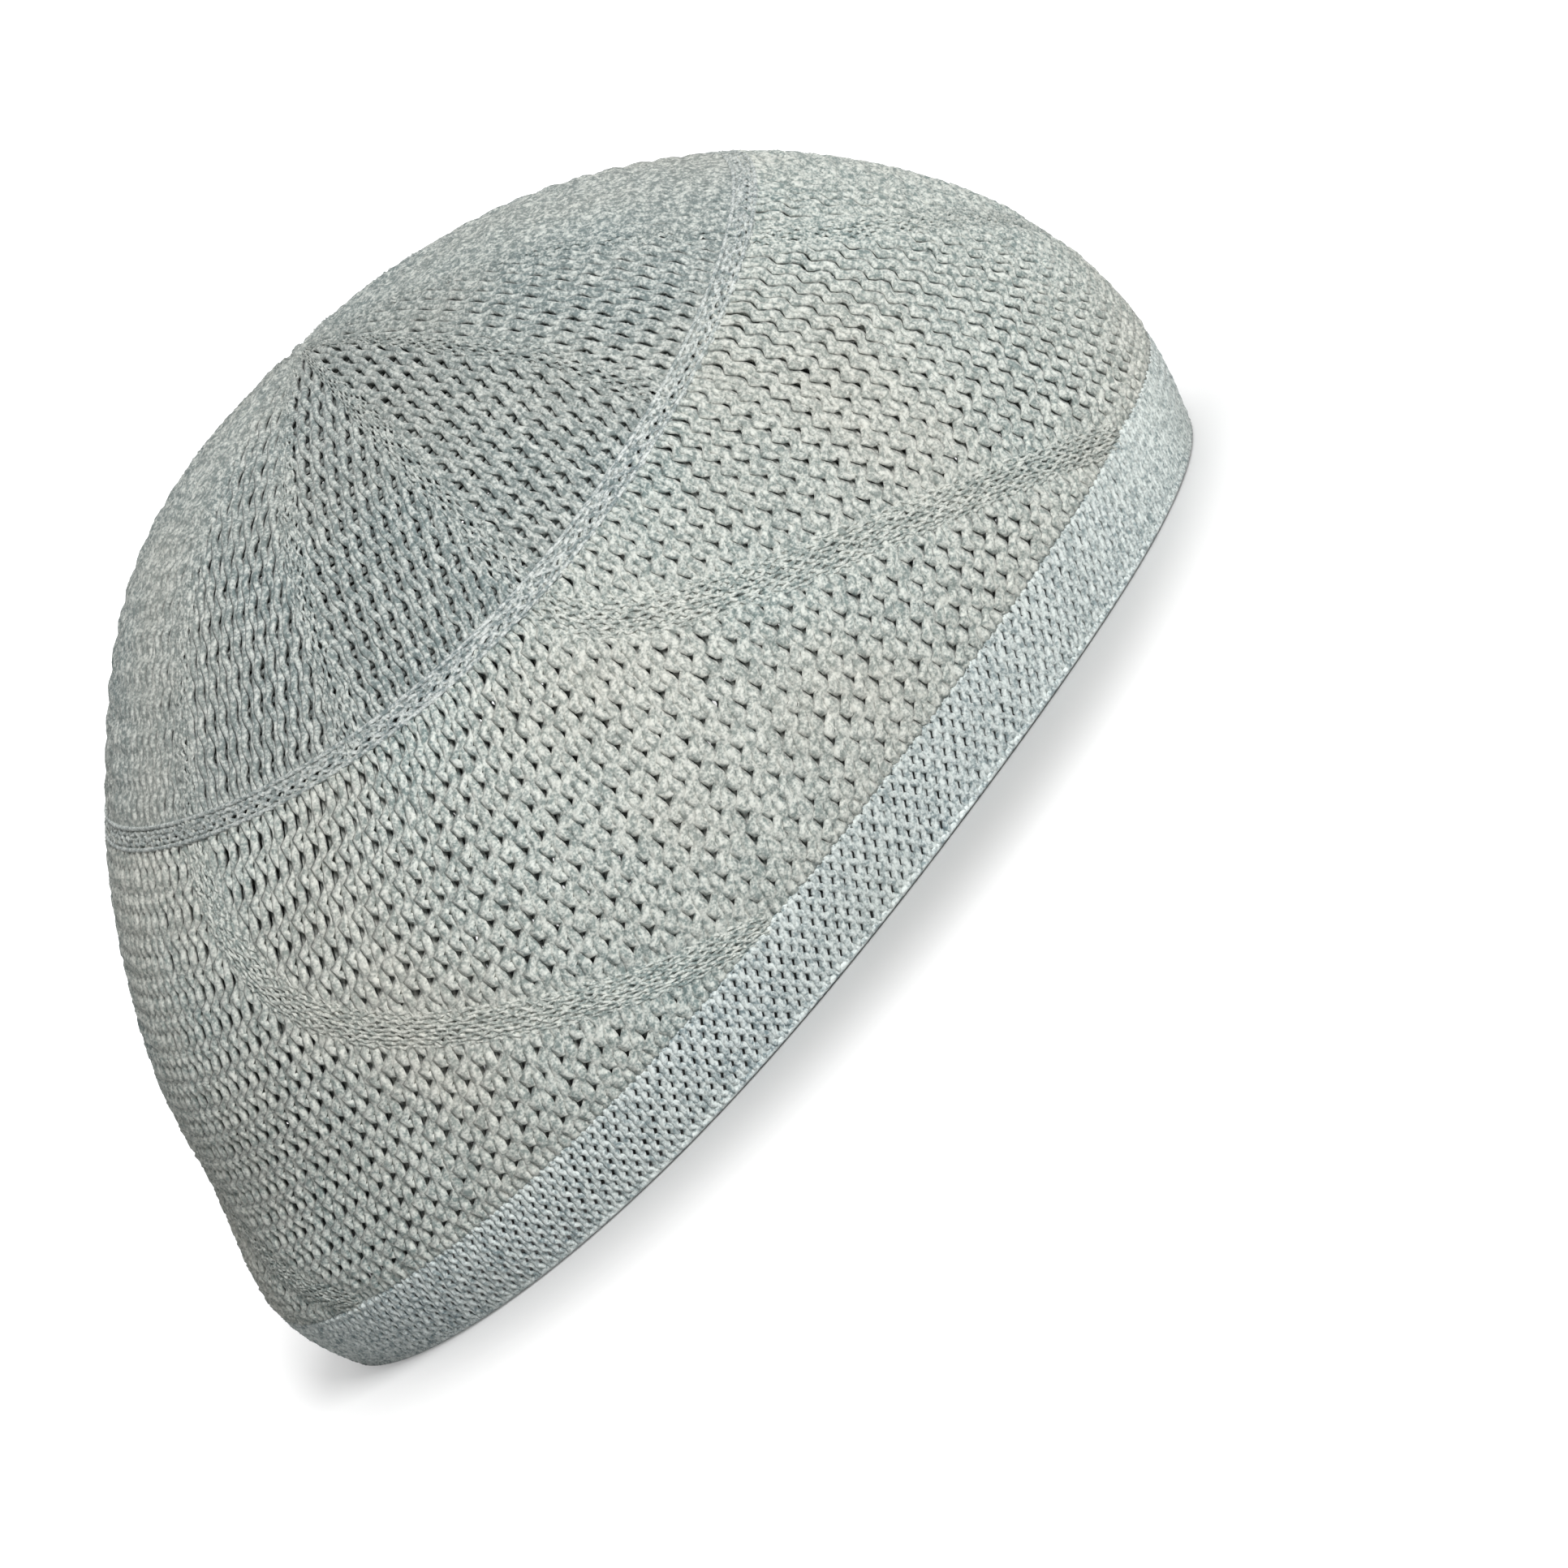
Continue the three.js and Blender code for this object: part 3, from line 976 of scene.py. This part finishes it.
@dataclass
class SideWall:
    """The openwork wall from the hem to the seam, in two halves, and its six swirl lines.

    The stitches lean to the front by `lean` columns a row, less under `low_band` and above `top_band`, which
    are shares of the cap's height. `pair_half` is half the distance between two strands of a pair, in
    columns. The slits open over the `open_rows` next to the hem, and `end_stretch` opens them wider at the
    front and the rear. Each `depth_in` is how deep strands lie, and `sink` is how much deeper the net lies
    under a swirl line.
    """

    finish: bpy.types.Material
    columns: int = 168
    rows: int = 17
    sides: int = 5
    stitch: SlitStitch = SlitStitch()
    depth_in: float = 0.85 * MM
    sink: float = 0.4 * MM
    pair_half: float = 0.25
    open_rows: float = 0.5
    end_stretch: float = 0.65
    row_growth: float = 0.253
    lean: float = 0.35
    low_lean_loss: float = 0.17
    low_band: tuple[float, float] = (0.17, 0.27)
    top_lean_loss: float = 0.1
    top_band: tuple[float, float] = (0.36, 0.46)
    spread: Spread = Spread(lane=0.02, height=0.05 * MM, opening=0.22)
    ground_spread: Spread = Spread(lane=0.03, height=0.06 * MM)
    ground_width: float = 0.36
    ground_half_depth: float = 0.32 * MM
    ground_depth_in: float = 2.2 * MM
    line_depth_in: float = 0.55 * MM
    line_taper: float = 0.3
    line_places: int = 200

    def height_of(self, row: np.ndarray) -> np.ndarray:
        """Finds the share of the cap's height of a row, as the rows grow taller towards the seam."""
        share = row / self.rows
        return HEM_TOP.at + (SEAM.at - HEM_TOP.at) * share * (1 - self.row_growth * (1 - share))

    def shift_of(self, row: np.ndarray) -> np.ndarray:
        """Finds how far the stitches have moved to the front.

        Args:
            row: places up the wall, in rows.

        Returns:
            The move in columns.
        """
        rows = np.linspace(0, self.rows, CLIMB_PLACES)
        at = self.height_of(rows)
        lean = self.lean - self.low_lean_loss * (1 - fade(at, *self.low_band))
        lean = lean - self.top_lean_loss * fade(at, *self.top_band)
        moved = np.concatenate([[0], np.cumsum((lean[1:] + lean[:-1]) / 2 * np.diff(rows))])
        return np.interp(row, rows, moved)

    def build(self, rng: np.random.Generator) -> None:
        """Builds the two halves of the net, the ground yarns behind them and the swirl lines.

        Args:
            rng: the source of unevenness.
        """
        swirl = SwirlLine()
        for name, columns in (
            ("side_net_right", np.arange(self.columns // 2)),
            ("side_net_left", np.arange(self.columns // 2, self.columns)),
        ):
            mesh = join_meshes(name, [self._net(columns, swirl, rng).mesh(rng)])
            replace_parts(add_piece(name, mesh, self.finish), "side_wall")
        ground = join_meshes("side_ground", [self._ground(rng).mesh(rng)])
        for name, mesh in (("side_ground", ground), ("swirl_lines", self._lines(swirl, rng))):
            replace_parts(add_piece(name, mesh, self.finish), "side_wall")

    def _net(self, columns: np.ndarray, swirl: SwirlLine, rng: np.random.Generator) -> Yarns:
        """Lays the strands of some columns from the hem up to the seam.

        Args:
            columns: the numbers of the columns, counted from the front.
            swirl: the lines beside which the slits close.
            rng: the source of unevenness.

        Returns:
            The strands.
        """
        stitch = self.stitch
        column = np.repeat(columns, 2)[:, None]
        side = np.tile([1.0, -1.0], len(columns))[:, None]
        stations = stitch.rows(self.rows)
        count = len(column)
        row = np.broadcast_to(stations, (count, len(stations)))
        at = self.height_of(row)
        lane = column - self.pair_half * side - self.shift_of(stitch.jogged(row))
        cover = swirl.cover(at, lane * 360 / self.columns)
        ends = np.cos(np.radians(lane * 360 / self.columns)) ** 2
        stretch = 1 + self.end_stretch * ends + uneven(rng, count, row, self.spread.opening)
        opening = (1 - cover) * stretch * fade(row, 0, self.open_rows)
        slit = stitch.opened(row) * opening
        lane = lane + stitch.sideways(side, row, slit, opening)
        degrees = (lane + uneven(rng, count, row, self.spread.lane)) * 360 / self.columns
        height = stitch.lift * side * stitch.wave(row) * opening + uneven(rng, count, row, self.spread.height)
        lines, normals = DOME.lay(at, degrees, height - self.depth_in - self.sink * cover)
        width = stitch.width(side, slit) * DOME.per_degree(at, degrees) * 360 / self.columns
        width = width * (1 + uneven(rng, count, row, self.spread.width))
        return Yarns(lines, normals, width / 2, np.full(width.shape, stitch.half_depth), self.sides)

    def _ground(self, rng: np.random.Generator) -> Yarns:
        """Lays the yarns that run up behind the net and close the view through its slits.

        Args:
            rng: the source of unevenness.

        Returns:
            The yarns.
        """
        count = 2 * self.columns
        strand = np.arange(count)[:, None]
        row = np.broadcast_to(np.linspace(0, self.rows, self.rows + 1), (count, self.rows + 1))
        at = self.height_of(row)
        lane = (strand + 0.5) / 2 - self.shift_of(row) + uneven(rng, count, row, self.ground_spread.lane)
        degrees = lane * 360 / self.columns
        height = uneven(rng, count, row, self.ground_spread.height) - self.ground_depth_in
        lines, normals = DOME.lay(at, degrees, height)
        width = self.ground_width * DOME.per_degree(at, degrees) * 360 / self.columns
        width = width * (1 + uneven(rng, count, row, self.ground_spread.width))
        return Yarns(lines, normals, width / 2, np.full(width.shape, self.ground_half_depth), GROUND_SIDES)

    def _lines(self, swirl: SwirlLine, rng: np.random.Generator) -> bpy.types.Mesh:
        """Knits the six swirl lines as strips that narrow into the hem.

        Args:
            swirl: their path.
            rng: the source of unevenness.

        Returns:
            The mesh.
        """
        knit = CloseKnit(strands=swirl.strands)
        at = np.linspace(SEAM.at, HEM_TOP.at, self.line_places)
        meshes = []
        for line in range(swirl.count):
            degrees = swirl.first_degrees + 360 / swirl.count * line - swirl.turn(at)
            guide = Guide.through(at, degrees, knit.steps(DOME.length(at, degrees)))
            share = np.linspace(0, 1, len(guide.points))
            width = 2 * swirl.half_width * (1 - self.line_taper * share)
            height = np.full(len(share), -self.line_depth_in)
            meshes.append(knit.yarns(guide, width, height, rng).mesh(rng))
        return join_meshes("swirl_lines", meshes)


@dataclass
class Headband:
    """The fine hem band: a net of thin strands with small round holes, and a cord along each edge."""

    finish: bpy.types.Material
    columns: int = 252
    rows: int = 8
    steps_per_row: int = 3
    sides: int = 5
    stitch: Stitch = Stitch(
        swing=0.1,
        bow=0.0,
        slant=0.08,
        lift=0.08 * MM,
        bulge=0.1 * MM,
        width=0.43,
        waist=0.6,
        depth=0.55 * MM,
    )
    spread: Spread = Spread(lane=0.02, height=0.03 * MM, width=0.07, opening=0.12)
    rim_at: float = 0.004
    half_depth_in: float = 0.6 * MM
    edge_at: float = 0.0042
    edge_radius: float = 0.62 * MM
    edge_steps: int = 480
    top_at: float = HEM_TOP.at - 0.001
    top_radius: float = 0.46 * MM
    top_depth_in: float = 1.0 * MM

    def build(self, rng: np.random.Generator) -> None:
        """Builds the band's net and its edge cords as one piece.

        Args:
            rng: the source of unevenness.
        """
        meshes = [self._net(rng)]
        for at, radius, depth_in in (
            (self.edge_at, self.edge_radius, self.half_depth_in),
            (self.top_at, self.top_radius, self.top_depth_in),
        ):
            guide = Guide.ring(at, self.edge_steps)
            meshes.append(Cord(radius).yarns(guide, -depth_in).mesh(rng))
        piece = add_piece("hem_net", join_meshes("hem_net", meshes), self.finish)
        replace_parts(piece, "headband")

    def _net(self, rng: np.random.Generator) -> bpy.types.Mesh:
        """Knits the band's net.

        Args:
            rng: the source of unevenness.

        Returns:
            The mesh.
        """
        count = 2 * self.columns
        strand = np.arange(count)[:, None]
        steps = self.rows * self.steps_per_row + 1
        row = np.broadcast_to(np.linspace(0, self.rows, steps), (count, steps))
        at = self.rim_at + (HEM_TOP.at - self.rim_at) * row / self.rows
        opening = 1 + uneven(rng, count, row, self.spread.opening)
        shift, height = self.stitch.offsets(strand, row, opening)
        lane = (strand + 0.5) / 2 + shift + uneven(rng, count, row, self.spread.lane)
        degrees = lane * 360 / self.columns
        height = height + uneven(rng, count, row, self.spread.height) - self.half_depth_in
        lines, normals = DOME.lay(at, degrees, height)
        width = self.stitch.widths(row, opening) * DOME.per_degree(at, degrees) * 360 / self.columns
        width = width * (1 + uneven(rng, count, row, self.spread.width))
        half_depth = np.full(width.shape, self.stitch.depth)
        return Yarns(lines, normals, width / 2, half_depth, self.sides).mesh(rng)


@dataclass
class CrownRing:
    """The seam round the crown: a strip of close knit between two thin raised lines."""

    finish: bpy.types.Material
    width: float = 4.2 * MM
    strands: int = 5
    depth_in: float = 0.3 * MM
    cord_radius: float = 0.38 * MM
    cord_offset: float = 0.4
    cord_depth_in: float = 0.22 * MM

    def build(self, rng: np.random.Generator) -> None:
        """Builds the seam's strip and its two raised lines as one piece.

        Args:
            rng: the source of unevenness.
        """
        knit = CloseKnit(strands=self.strands)
        around = np.linspace(0, 360, ROUND_PLACES + 1)
        length = DOME.length(np.full(around.shape, SEAM.at), around)
        guide = Guide.ring(SEAM.at, knit.steps(length, is_loop=True))
        size = len(guide.points)
        strip = knit.yarns(guide, np.full(size, self.width), np.full(size, -self.depth_in), rng)
        meshes = [strip.mesh(rng)]
        side = guide.sideways()
        for edge in (-1, 1):
            moved = guide.points + side * (edge * self.cord_offset * self.width)
            cord = Guide(moved, guide.normals, is_loop=True)
            meshes.append(Cord(self.cord_radius).yarns(cord, -self.cord_depth_in).mesh(rng))
        piece = add_piece("seam_ring", join_meshes("seam_ring", meshes), self.finish)
        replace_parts(piece, "crown_ring")


@dataclass
class Crown:
    """The openwork top: twelve gores whose strands end under twelve close-knit ribs.

    `columns` and `rows` are those of one gore. The places where the gores, the ground and the ribs end, and
    where a small ring gathers them, are shares of the cap's height. The holes close over the `fade_in` rows
    next to the seam, and by `fade_out` over the last `fade_rows`. A strand ends where it runs under a rib,
    by `tuck` of the rib's width at the apex.
    """

    finish: bpy.types.Material
    gores: int = 12
    columns: int = 14
    rows: float = 16.0
    steps_per_row: int = 5
    min_steps: int = 6
    sides: int = 6
    stitch: Stitch = Stitch(
        swing=0.12,
        bow=0.03,
        slant=0.08,
        lift=0.1 * MM,
        bulge=0.2 * MM,
        width=0.42,
        waist=0.58,
        depth=0.6 * MM,
    )
    spread: Spread = Spread(lane=0.02, height=0.04 * MM, opening=0.15)
    fade_in: tuple[float, float] = (0.1, 1.0)
    fade_rows: float = 3.0
    fade_out: float = 0.5
    tuck: float = 0.25
    half_depth_in: float = 0.75 * MM
    gores_end: float = 0.995
    ground_spacing: float = 0.0085
    ground_from: float = SEAM.at + 0.01
    ground_to: float = 0.985
    ground_wave: float = 0.12 * MM
    ground_steps: int = 120
    ground_places: int = 360
    ground_radius: float = 0.62 * MM
    ground_depth_in: float = 2.0 * MM
    rib_width: float = 5.6 * MM
    rib_width_apex: float = 1.5 * MM
    rib_depth_in: float = 0.25 * MM
    ribs_end: float = 0.994
    rib_taper: float = 1.2
    rib_places: int = 160
    gather_at: float = 0.9955
    gather_radius: float = 0.8 * MM
    gather_depth_in: float = 0.35 * MM
    gather_steps: int = 36
    gather_sides: int = 8

    def build(self, rng: np.random.Generator) -> None:
        """Builds the gores, the ground yarns behind them and the ribs.

        Args:
            rng: the source of unevenness.
        """
        gores = add_piece("crown_gores", self._net(rng), self.finish)
        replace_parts(gores, "crown")
        for name, mesh in (("crown_ground", self._ground(rng)), ("crown_ribs", self._ribs(rng))):
            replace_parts(add_piece(name, mesh, self.finish), "crown")

    def _net(self, rng: np.random.Generator) -> bpy.types.Mesh:
        """Knits the gores, lane by lane out from the middle line of each gore.

        Args:
            rng: the source of unevenness.

        Returns:
            The mesh.
        """
        half = 180 / self.gores
        middles = (np.arange(self.gores) + 0.5) * 360 / self.gores
        stations = np.linspace(SEAM.at, self.gores_end, CLIMB_PLACES)
        grid_at, grid_middle = np.meshgrid(stations, middles, indexing="ij")
        per_degree = DOME.per_degree(grid_at, grid_middle)
        pitch = per_degree[0] * 2 * half / self.columns
        meshes = []
        for lane in range(self.columns):
            offset = (lane + 0.5) / 2 * pitch
            room = per_degree * half - offset[None, :] - self.tuck * self.rib_width_apex
            end_at = np.array([np.interp(0.0, -room[:, g], stations) for g in range(self.gores)])
            end_row = (end_at - SEAM.at) / (APEX.at - SEAM.at) * self.rows
            steps = max(self.min_steps, round(float(end_row.mean()) * self.steps_per_row) + 1)
            gore = np.repeat(np.arange(self.gores), 2)
            sign = np.tile([-1.0, 1.0], self.gores)
            number = np.where(sign > 0, self.columns + lane, self.columns - 1 - lane)[:, None]
            row = np.linspace(0, 1, steps)[None, :] * end_row[gore][:, None]
            at = SEAM.at + (APEX.at - SEAM.at) * row / self.rows
            count = len(gore)
            opening = 1 - self.fade_out * fade(row, self.rows - self.fade_rows, self.rows)
            opening = opening * fade(row, *self.fade_in) * (1 + uneven(rng, count, row, self.spread.opening))
            shift, height = self.stitch.offsets(number, row, opening)
            shift = shift + uneven(rng, count, row, self.spread.lane)
            across = (sign * offset[gore])[:, None] + shift * pitch[gore][:, None]
            middle = np.broadcast_to(middles[gore][:, None], at.shape)
            degrees = middle + across / DOME.per_degree(at, middle)
            height = height + uneven(rng, count, row, self.spread.height) - self.half_depth_in
            lines, normals = DOME.lay(at, degrees, height)
            width = self.stitch.widths(row, opening) * pitch[gore][:, None]
            width = width * (1 + uneven(rng, count, row, self.spread.width))
            half_depth = np.full(width.shape, self.stitch.depth)
            meshes.append(Yarns(lines, normals, width / 2, half_depth, self.sides).mesh(rng))
        return join_meshes("crown_gores", meshes)

    def _ground(self, rng: np.random.Generator) -> bpy.types.Mesh:
        """Lays rings of yarn behind the gores, which close the view through their holes.

        Args:
            rng: the source of unevenness.

        Returns:
            The mesh.
        """
        meshes = []
        for at in np.arange(self.ground_from, self.ground_to, self.ground_spacing):
            guide = Guide.ring(at, self.ground_steps, self.ground_places)
            wavy = rng.normal(0, self.ground_wave, (len(guide.points), 1))
            guide = Guide(guide.points + guide.normals * wavy, guide.normals, is_loop=True)
            cord = Cord(self.ground_radius, GROUND_SIDES)
            meshes.append(cord.yarns(guide, -self.ground_depth_in).mesh(rng))
        return join_meshes("crown_ground", meshes)

    def _ribs(self, rng: np.random.Generator) -> bpy.types.Mesh:
        """Knits the twelve ribs as strips that narrow towards the apex, and the ring that gathers them.

        Args:
            rng: the source of unevenness.

        Returns:
            The mesh.
        """
        knit = CloseKnit()
        at = np.linspace(SEAM.at, self.ribs_end, self.rib_places)
        meshes = []
        for rib in range(self.gores):
            degrees = np.full(at.shape, rib * 360 / self.gores)
            guide = Guide.through(at, degrees, knit.steps(DOME.length(at, degrees)))
            share = np.linspace(0, 1, len(guide.points))
            width = self.rib_width + (self.rib_width_apex - self.rib_width) * share**self.rib_taper
            height = np.full(len(share), -self.rib_depth_in)
            meshes.append(knit.yarns(guide, width, height, rng).mesh(rng))
        gather = Guide.ring(self.gather_at, self.gather_steps, 2 * self.gather_steps)
        cord = Cord(self.gather_radius, self.gather_sides)
        meshes.append(cord.yarns(gather, -self.gather_depth_in).mesh(rng))
        return join_meshes("crown_ribs", meshes)


@dataclass(frozen=True)
class Lamp:
    """A square soft light: its place and the length of its side in metres, and its power in watts."""

    name: str
    place: tuple[float, float, float]
    size: float
    power: float


@dataclass
class Studio:
    """The floor, the soft lights and the camera.

    `front_in_picture` is the way to the cap's front in the picture, to the right and up. `target` is the
    place in the middle of the picture. The floor glows by `glow`, from and up to the distances in
    `glow_ring`, and the room's light falls from `room_level` to `room_zenith` overhead.
    """

    PHOTO_SIDE = 1932
    PIXELS_PER_METRE = 7710.0
    SENSOR_MM = 36.0
    CLIP_END = 30.0
    WHITE = (1.0, 1.0, 1.0, 1.0)
    LAMPS = (
        Lamp("key", (0.6, -1.5, 1.1), 0.7, 37.5),
        Lamp("fill", (0.5, -2.1, 0.2), 1.2, 7.0),
        Lamp("top", (0.8, 1.2, 1.3), 0.9, 12.0),
        Lamp("back", (-0.5, 1.9, 0.7), 1.2, 16.0),
    )
    LAMP_AIM = (0.0, 0.0, 0.05)

    distance: float = 1.8
    elevation: float = 13.5
    target: tuple[float, float, float] = (0.0113, 0.0, 0.0093)
    front_in_picture: tuple[float, float] = (0.66, 0.7515)
    floor_half: float = 6.0
    floor_colour: tuple[float, float, float, float] = (0.6, 0.6, 0.6, 1.0)
    floor_roughness: float = 0.9
    floor_specular: float = 0.1
    glow: float = 0.75
    glow_ring: tuple[float, float] = (0.07, 0.14)
    room_level: float = 0.3
    room_zenith: float = 0.19

    def build(self) -> None:
        """Builds the floor, lights and camera."""
        self._floor()
        self._lights()
        self._camera()

    def _floor(self) -> None:
        """Lays a wide pale floor, which the camera sees as bright as an overexposed backdrop."""
        work = bmesh.new()
        bmesh.ops.create_grid(work, x_segments=8, y_segments=8, size=self.floor_half)
        mesh = bpy.data.meshes.new("floor")
        work.to_mesh(mesh)
        work.free()
        floor = bpy.data.objects.new("floor", mesh)
        bpy.context.scene.collection.objects.link(floor)
        material = bpy.data.materials.new("floor_paper")
        material.use_nodes = True
        shader = material.node_tree.nodes["Principled BSDF"]
        set_inputs(shader, {"Base Color": self.floor_colour, "Emission Color": self.WHITE})
        set_inputs(shader, {"Roughness": self.floor_roughness, "Specular IOR Level": self.floor_specular})
        self._backdrop_glow(material.node_tree, shader.inputs["Emission Strength"])
        mesh.materials.append(material)

    def _backdrop_glow(self, tree: bpy.types.NodeTree, strength: bpy.types.NodeSocket) -> None:
        """Makes the floor away from the cap glow for the camera alone, as an overexposed backdrop does.

        Args:
            tree: the floor material's tree.
            strength: the input that the glow feeds.
        """
        distance = tree.nodes.new("ShaderNodeVectorMath")
        distance.operation = "LENGTH"
        tree.links.new(tree.nodes.new("ShaderNodeTexCoord").outputs["Object"], distance.inputs[0])
        away = add_range(tree, distance.outputs["Value"], self.glow_ring, (0.0, self.glow), is_smooth=True)
        is_camera = tree.nodes.new("ShaderNodeLightPath").outputs["Is Camera Ray"]
        tree.links.new(add_math(tree, "MULTIPLY", is_camera, away), strength)

    def _lights(self) -> None:
        """Lights the cap softly from the front and above, with weaker light all round."""
        world = bpy.data.worlds.new("soft_room")
        world.use_nodes = True
        tree = world.node_tree
        parts = tree.nodes.new("ShaderNodeSeparateXYZ")
        tree.links.new(tree.nodes.new("ShaderNodeTexCoord").outputs["Generated"], parts.inputs[0])
        dimmer = add_range(tree, parts.outputs["Z"], (0.0, 1.0), (self.room_level, self.room_zenith))
        background = tree.nodes["Background"]
        background.inputs["Color"].default_value = self.WHITE
        tree.links.new(dimmer, background.inputs["Strength"])
        bpy.context.scene.world = world
        for lamp in self.LAMPS:
            data = bpy.data.lights.new(lamp.name, "AREA")
            data.shape = "SQUARE"
            data.size = lamp.size
            data.energy = lamp.power
            light = bpy.data.objects.new(lamp.name, data)
            bpy.context.scene.collection.objects.link(light)
            light.location = lamp.place
            aim = Vector(self.LAMP_AIM) - Vector(lamp.place)
            light.rotation_euler = aim.to_track_quat("-Z", "Y").to_euler()

    def _camera(self) -> None:
        """Sets the camera at the side of the cap, turned so that the cap lies as in the picture."""
        tilt = math.radians(self.elevation)
        right = Vector((1, 0, 0))
        up = Vector((0, math.sin(tilt), math.cos(tilt)))
        back = Vector((0, -math.cos(tilt), math.sin(tilt)))
        cos, sin = self.front_in_picture
        picture_right = cos * right - sin * up
        picture_up = sin * right + cos * up
        data = bpy.data.cameras.new("camera")
        data.sensor_width = self.SENSOR_MM
        data.lens = self.PIXELS_PER_METRE * self.distance / self.PHOTO_SIDE * data.sensor_width
        data.clip_end = self.CLIP_END
        camera = bpy.data.objects.new("camera", data)
        bpy.context.scene.collection.objects.link(camera)
        place = Vector(self.target) + back * self.distance
        axes = Matrix((picture_right, picture_up, back)).transposed().to_4x4()
        camera.matrix_world = Matrix.Translation(place) @ axes
        bpy.context.scene.camera = camera


def main() -> None:
    """Builds the cap piece by piece, then the studio."""
    logging.basicConfig(level=logging.INFO, format="%(name)s %(message)s")
    rng = np.random.default_rng(SEED)
    shop = KnitShop()
    finishes = {look.slot: shop.make(look) for look in LOOKS}
    Headband(finishes[Finish.HEM]).build(rng)
    SideWall(finishes[Finish.SIDE]).build(rng)
    CrownRing(finishes[Finish.SEAM]).build(rng)
    Crown(finishes[Finish.CROWN]).build(rng)
    Studio().build()
    bpy.context.scene.view_settings.view_transform = "Standard"


if __name__ == "__main__":
    main()
